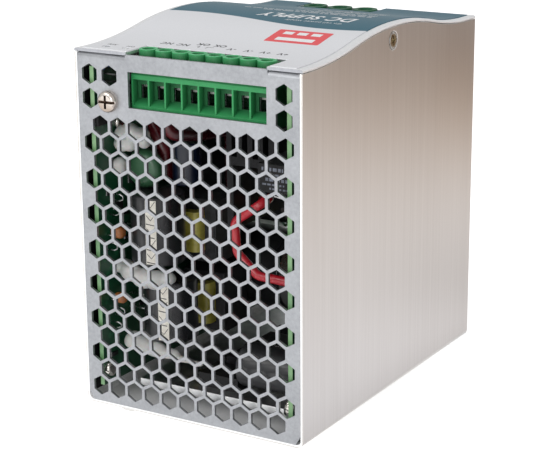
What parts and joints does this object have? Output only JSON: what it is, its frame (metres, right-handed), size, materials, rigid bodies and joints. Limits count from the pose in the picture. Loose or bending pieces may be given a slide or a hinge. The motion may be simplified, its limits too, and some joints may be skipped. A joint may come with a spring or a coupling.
{
  "type": "din rail power supply",
  "caption": "Metal-cased power supply for a mounting rail, with perforated ends, a curved front, screw terminals at both ends and a sprung rail clip.",
  "frame": {"origin": "centre of the case's width and length, on the plane of the rail clip's lowest faces", "axes": "+Z from the rail clip out through the labelled front; +X across the case's width; +Y from the output terminal end to the input terminal end"},
  "size_m": [0.0856, 0.1296, 0.1367],
  "materials": {
    "brushed_case": "vertical brushed sheet, satin",
    "case_sheet": "zinc-coated sheet, matt",
    "cover_sheet": "zinc-coated sheet, matt",
    "label_film": "printed polyester film, light grey with a blue-grey band",
    "yellow_zinc": "yellow chromate",
    "nickel": "nickel plated",
    "black_film": "black insulating film",
    "board": "green glass-epoxy board",
    "bare_aluminium": "mill finish",
    "dark_aluminium": "dark anodised",
    "black_resin": "moulded resin",
    "green_plastic": "moulded polyamide",
    "tinned_brass": "tinned",
    "sleeve": "shrink sleeve",
    "ferrite": "sintered ferrite",
    "yellow_tape": "polyester tape",
    "green_coating": "epoxy coating",
    "enamelled_wire": "enamelled copper",
    "capacitor_box": "moulded box",
    "fuse_glass": "clear glass",
    "red_silicone": "red insulation",
    "blue_plastic": "moulded",
    "white_plastic": "moulded",
    "led_lens": "tinted lens",
    "zinc_steel": "zinc plated",
    "spring_steel": "spring wire"
  },
  "bodies": {
    "case": {"side_back_shell": "brushed_case", "output_end_plate": "case_sheet", "input_end_plate": "case_sheet", "front_cover": "cover_sheet", "front_label": "label_film", "side_screws": "yellow_zinc", "end_plate_screws": "nickel", "end_plate_nuts": "nickel", "side_insulators": "black_film", "left_board": "board", "right_board": "board", "terminal_boards": "board", "board_spacers": "nickel", "board_screws": "nickel", "heat_spreader": "bare_aluminium", "heatsink": "dark_aluminium", "power_transistors": "black_resin", "output_terminal_housing": "green_plastic", "input_terminal_housing": "green_plastic", "output_terminal_bars": "tinned_brass", "input_terminal_bars": "tinned_brass", "output_capacitors": "sleeve", "bulk_capacitors": "sleeve", "ferrite_cores": "ferrite", "taped_windings": "yellow_tape", "green_dipped_disc": "green_coating", "toroid_windings": "enamelled_wire", "film_capacitors": "capacitor_box", "relay": "black_resin", "input_fuse": "fuse_glass", "red_leads": "red_silicone", "trimmer_body": "blue_plastic", "status_led": "led_lens", "din_clip_base": "zinc_steel", "din_clip_screws": "nickel", "din_latch_spring": "spring_steel"},
    "trimmer": {"trimmer_rotor": "white_plastic"},
    "latch": {"din_latch": "zinc_steel"},
    "output_screw_1": {"output_clamp_screw_1": "nickel"},
    "output_cage_1": {"output_clamp_1": "nickel"},
    "output_screw_2": {"output_clamp_screw_2": "nickel"},
    "output_cage_2": {"output_clamp_2": "nickel"},
    "output_screw_3": {"output_clamp_screw_3": "nickel"},
    "output_cage_3": {"output_clamp_3": "nickel"},
    "output_screw_4": {"output_clamp_screw_4": "nickel"},
    "output_cage_4": {"output_clamp_4": "nickel"},
    "output_screw_5": {"output_clamp_screw_5": "nickel"},
    "output_cage_5": {"output_clamp_5": "nickel"},
    "output_screw_6": {"output_clamp_screw_6": "nickel"},
    "output_cage_6": {"output_clamp_6": "nickel"},
    "output_screw_7": {"output_clamp_screw_7": "nickel"},
    "output_cage_7": {"output_clamp_7": "nickel"},
    "output_screw_8": {"output_clamp_screw_8": "nickel"},
    "output_cage_8": {"output_clamp_8": "nickel"},
    "input_screw_1": {"input_clamp_screw_1": "nickel"},
    "input_cage_1": {"input_clamp_1": "nickel"},
    "input_screw_2": {"input_clamp_screw_2": "nickel"},
    "input_cage_2": {"input_clamp_2": "nickel"},
    "input_screw_3": {"input_clamp_screw_3": "nickel"},
    "input_cage_3": {"input_clamp_3": "nickel"}
  },
  "joints": [
    {"name": "din_latch_slide", "type": "slide", "parent": "case", "child": "latch", "axis": [0, 1, 0], "range_m": [0, 0.0035], "stiffness_N_per_m": 1500, "springref_m": -0.002, "deforming": ["din_latch_spring"]},
    {"name": "trimmer_turn", "type": "hinge", "parent": "case", "child": "trimmer", "pos_m": [-0.03415, -0.0566, 0.128], "axis": [0, 0, 1], "range_deg": [-135, 135]},
    {"name": "output_screw_1_turn", "type": "hinge", "parent": "case", "child": "output_screw_1", "pos_m": [-0.01858, -0.055, 0.125], "axis": [0, 0, 1], "range_deg": [-2160, 0]},
    {"name": "output_cage_1_rise", "type": "slide", "parent": "case", "child": "output_cage_1", "axis": [0, 0, 1], "range_m": [0, 0.003]},
    {"name": "output_screw_2_turn", "type": "hinge", "parent": "case", "child": "output_screw_2", "pos_m": [-0.01222, -0.055, 0.125], "axis": [0, 0, 1], "range_deg": [-2160, 0]},
    {"name": "output_cage_2_rise", "type": "slide", "parent": "case", "child": "output_cage_2", "axis": [0, 0, 1], "range_m": [0, 0.003]},
    {"name": "output_screw_3_turn", "type": "hinge", "parent": "case", "child": "output_screw_3", "pos_m": [-0.00588, -0.055, 0.125], "axis": [0, 0, 1], "range_deg": [-2160, 0]},
    {"name": "output_cage_3_rise", "type": "slide", "parent": "case", "child": "output_cage_3", "axis": [0, 0, 1], "range_m": [0, 0.003]},
    {"name": "output_screw_4_turn", "type": "hinge", "parent": "case", "child": "output_screw_4", "pos_m": [0.00047, -0.055, 0.125], "axis": [0, 0, 1], "range_deg": [-2160, 0]},
    {"name": "output_cage_4_rise", "type": "slide", "parent": "case", "child": "output_cage_4", "axis": [0, 0, 1], "range_m": [0, 0.003]},
    {"name": "output_screw_5_turn", "type": "hinge", "parent": "case", "child": "output_screw_5", "pos_m": [0.00683, -0.055, 0.125], "axis": [0, 0, 1], "range_deg": [-2160, 0]},
    {"name": "output_cage_5_rise", "type": "slide", "parent": "case", "child": "output_cage_5", "axis": [0, 0, 1], "range_m": [0, 0.003]},
    {"name": "output_screw_6_turn", "type": "hinge", "parent": "case", "child": "output_screw_6", "pos_m": [0.01317, -0.055, 0.125], "axis": [0, 0, 1], "range_deg": [-2160, 0]},
    {"name": "output_cage_6_rise", "type": "slide", "parent": "case", "child": "output_cage_6", "axis": [0, 0, 1], "range_m": [0, 0.003]},
    {"name": "output_screw_7_turn", "type": "hinge", "parent": "case", "child": "output_screw_7", "pos_m": [0.01953, -0.055, 0.125], "axis": [0, 0, 1], "range_deg": [-2160, 0]},
    {"name": "output_cage_7_rise", "type": "slide", "parent": "case", "child": "output_cage_7", "axis": [0, 0, 1], "range_m": [0, 0.003]},
    {"name": "output_screw_8_turn", "type": "hinge", "parent": "case", "child": "output_screw_8", "pos_m": [0.02587, -0.055, 0.125], "axis": [0, 0, 1], "range_deg": [-2160, 0]},
    {"name": "output_cage_8_rise", "type": "slide", "parent": "case", "child": "output_cage_8", "axis": [0, 0, 1], "range_m": [0, 0.003]},
    {"name": "input_screw_1_turn", "type": "hinge", "parent": "case", "child": "input_screw_1", "pos_m": [0.00185, 0.055, 0.125], "axis": [0, 0, 1], "range_deg": [-2160, 0]},
    {"name": "input_cage_1_rise", "type": "slide", "parent": "case", "child": "input_cage_1", "axis": [0, 0, 1], "range_m": [0, 0.003]},
    {"name": "input_screw_2_turn", "type": "hinge", "parent": "case", "child": "input_screw_2", "pos_m": [-0.00865, 0.055, 0.125], "axis": [0, 0, 1], "range_deg": [-2160, 0]},
    {"name": "input_cage_2_rise", "type": "slide", "parent": "case", "child": "input_cage_2", "axis": [0, 0, 1], "range_m": [0, 0.003]},
    {"name": "input_screw_3_turn", "type": "hinge", "parent": "case", "child": "input_screw_3", "pos_m": [-0.01915, 0.055, 0.125], "axis": [0, 0, 1], "range_deg": [-2160, 0]},
    {"name": "input_cage_3_rise", "type": "slide", "parent": "case", "child": "input_cage_3", "axis": [0, 0, 1], "range_m": [0, 0.003]}
  ],
  "couplings": [
    {"joint": "output_screw_1_turn", "follows": "output_cage_1_rise", "rad_per_m": -12566},
    {"joint": "output_screw_2_turn", "follows": "output_cage_2_rise", "rad_per_m": -12566},
    {"joint": "output_screw_3_turn", "follows": "output_cage_3_rise", "rad_per_m": -12566},
    {"joint": "output_screw_4_turn", "follows": "output_cage_4_rise", "rad_per_m": -12566},
    {"joint": "output_screw_5_turn", "follows": "output_cage_5_rise", "rad_per_m": -12566},
    {"joint": "output_screw_6_turn", "follows": "output_cage_6_rise", "rad_per_m": -12566},
    {"joint": "output_screw_7_turn", "follows": "output_cage_7_rise", "rad_per_m": -12566},
    {"joint": "output_screw_8_turn", "follows": "output_cage_8_rise", "rad_per_m": -12566},
    {"joint": "input_screw_1_turn", "follows": "input_cage_1_rise", "rad_per_m": -12566},
    {"joint": "input_screw_2_turn", "follows": "input_cage_2_rise", "rad_per_m": -12566},
    {"joint": "input_screw_3_turn", "follows": "input_cage_3_rise", "rad_per_m": -12566}
  ]
}
